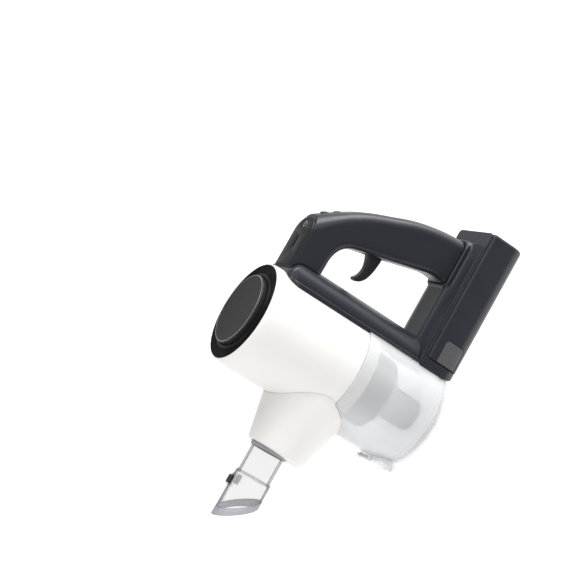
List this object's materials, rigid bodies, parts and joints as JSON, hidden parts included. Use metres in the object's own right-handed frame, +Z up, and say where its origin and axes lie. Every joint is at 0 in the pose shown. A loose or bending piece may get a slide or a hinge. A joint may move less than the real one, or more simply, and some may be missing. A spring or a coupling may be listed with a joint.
{
  "type": "handheld vacuum",
  "caption": "Cordless handheld vacuum: round motor barrel with a clear cyclone bin, side suction tube, arched trigger handle and a removable battery column.",
  "frame": {"origin": "under the middle of the whole part, on the plane that the bin lid's foot ring and the back of the battery rest on", "axes": "+Z up along the motor barrel towards the exhaust cover, -Y along the suction tube towards its tip, +Y towards the battery column, +X to the side with the right release button"},
  "size_m": [0.11, 0.3716, 0.2218],
  "materials": {
    "housing_white": "warm white moulded plastic, satin with a fine grain",
    "charcoal_plastic": "charcoal moulded plastic, satin with a fine grain",
    "panel_gloss": "dark gloss panel",
    "indicator_lens": "smoked lens over the charge light",
    "exhaust_black": "black moulded plastic",
    "disc_grey": "dark grey satin disc with a bright turned edge",
    "trigger_dark": "black moulded plastic",
    "release_grey": "mid grey moulded plastic with a fine texture",
    "clear_plastic": "clear polycarbonate",
    "frosted_plastic": "translucent grey plastic",
    "soft_lip": "pale grey elastomer",
    "mesh_steel": "perforated steel screen",
    "fan_plastic": "moulded fan",
    "filter_foam": "open-cell foam",
    "filter_paper": "pleated filter paper",
    "rubber_black": "black rubber",
    "steel": "plain steel",
    "copper_winding": "wound copper",
    "cell_wrap": "shrink-wrapped cells",
    "contact_brass": "plated contacts",
    "circuit_green": "circuit board"
  },
  "bodies": {
    "main": {"motor_housing": "housing_white", "neck_inlet": "housing_white", "rail": "charcoal_plastic", "battery_dock": "charcoal_plastic", "handle_shell_right": "charcoal_plastic", "handle_shell_left": "charcoal_plastic", "display_panel": "panel_gloss", "indicator_window": "indicator_lens", "fan_housing": "trigger_dark", "motor_mount": "rubber_black", "motor_stator": "steel", "bearing_upper": "steel", "bearing_lower": "steel", "pre_filter": "filter_foam", "control_board": "circuit_green", "trigger_pin": "steel", "trigger_switch": "trigger_dark", "trigger_spring": "steel", "handle_screw_1": "steel", "handle_screw_2": "steel", "handle_screw_3": "steel", "dock_contacts": "contact_brass", "nozzle_seal": "soft_lip"},
    "rotor": {"rotor_shaft": "steel", "rotor_core": "copper_winding", "impeller": "fan_plastic"},
    "exhaust": {"exhaust_cover": "exhaust_black", "cover_disc": "disc_grey", "exhaust_filter": "filter_paper"},
    "bin": {"dust_bin": "clear_plastic", "cyclone_body": "frosted_plastic", "mesh_shroud": "mesh_steel", "dust_cone": "frosted_plastic", "lid_hinge_pin": "steel", "latch_pin": "steel"},
    "lid": {"bin_lid": "clear_plastic", "lid_seal": "soft_lip"},
    "latch": {"lid_latch": "clear_plastic"},
    "tube": {"nozzle_tube": "clear_plastic"},
    "sleeve": {"nozzle_sleeve": "clear_plastic", "nozzle_lip": "soft_lip"},
    "sleeve_key": {"nozzle_button": "trigger_dark"},
    "trigger": {"trigger": "trigger_dark"},
    "power_key": {"power_button": "panel_gloss"},
    "mode_key_1": {"mode_button_1": "charcoal_plastic"},
    "mode_key_2": {"mode_button_2": "charcoal_plastic"},
    "battery": {"battery_case": "charcoal_plastic", "battery_front_plate": "charcoal_plastic", "battery_cell_1": "cell_wrap", "battery_cell_2": "cell_wrap", "battery_cell_3": "cell_wrap", "battery_cell_4": "cell_wrap", "battery_contacts": "contact_brass", "release_spring": "steel"},
    "release_right": {"release_button_right": "release_grey"},
    "release_left": {"release_button_left": "release_grey"}
  },
  "joints": [
    {"name": "rotor_spin", "type": "hinge", "parent": "main", "child": "rotor", "pos_m": [0, -0.006, 0.15], "axis": [0, 0, 1], "continuous": true},
    {"name": "exhaust_lift", "type": "slide", "parent": "main", "child": "exhaust", "axis": [0, 0, 1], "range_m": [0, 0.06]},
    {"name": "bin_release", "type": "slide", "parent": "main", "child": "bin", "axis": [0, 0, -1], "range_m": [0, 0.12]},
    {"name": "lid_open", "type": "hinge", "parent": "bin", "child": "lid", "pos_m": [0, 0.0483, 0.0035], "axis": [1, 0, 0], "range_deg": [0, 90]},
    {"name": "latch_pull", "type": "hinge", "parent": "bin", "child": "latch", "pos_m": [0, -0.0636, 0.031], "axis": [-1, 0, 0], "range_deg": [0, 12], "stiffness_Nm_per_rad": 0.05},
    {"name": "tube_pull", "type": "slide", "parent": "main", "child": "tube", "axis": [0, -1, 0], "range_m": [0, 0.06]},
    {"name": "sleeve_retract", "type": "slide", "parent": "tube", "child": "sleeve", "axis": [0, 1, 0], "range_m": [0, 0.022]},
    {"name": "sleeve_key_press", "type": "slide", "parent": "sleeve", "child": "sleeve_key", "axis": [0, 0, -1], "range_m": [0, 0.0008], "stiffness_N_per_m": 600},
    {"name": "trigger_pull", "type": "hinge", "parent": "main", "child": "trigger", "pos_m": [0, 0.113, 0.128], "axis": [1, 0, 0], "range_deg": [0, 9], "stiffness_Nm_per_rad": 0.6},
    {"name": "power_press", "type": "slide", "parent": "main", "child": "power_key", "axis": [0, 0, -1], "range_m": [0, 0.001], "stiffness_N_per_m": 800},
    {"name": "mode_press_1", "type": "slide", "parent": "main", "child": "mode_key_1", "axis": [0, -0.851, -0.5251], "range_m": [0, 0.001], "stiffness_N_per_m": 800},
    {"name": "mode_press_2", "type": "slide", "parent": "main", "child": "mode_key_2", "axis": [0, -0.851, -0.5251], "range_m": [0, 0.001], "stiffness_N_per_m": 800},
    {"name": "battery_removal", "type": "slide", "parent": "main", "child": "battery", "axis": [0, 1, 0], "range_m": [0, 0.16]},
    {"name": "release_press_right", "type": "slide", "parent": "battery", "child": "release_right", "axis": [-1, 0, 0], "range_m": [0, 0.0012], "stiffness_N_per_m": 900},
    {"name": "release_press_left", "type": "slide", "parent": "battery", "child": "release_left", "axis": [1, 0, 0], "range_m": [0, 0.0012], "stiffness_N_per_m": 900}
  ]
}
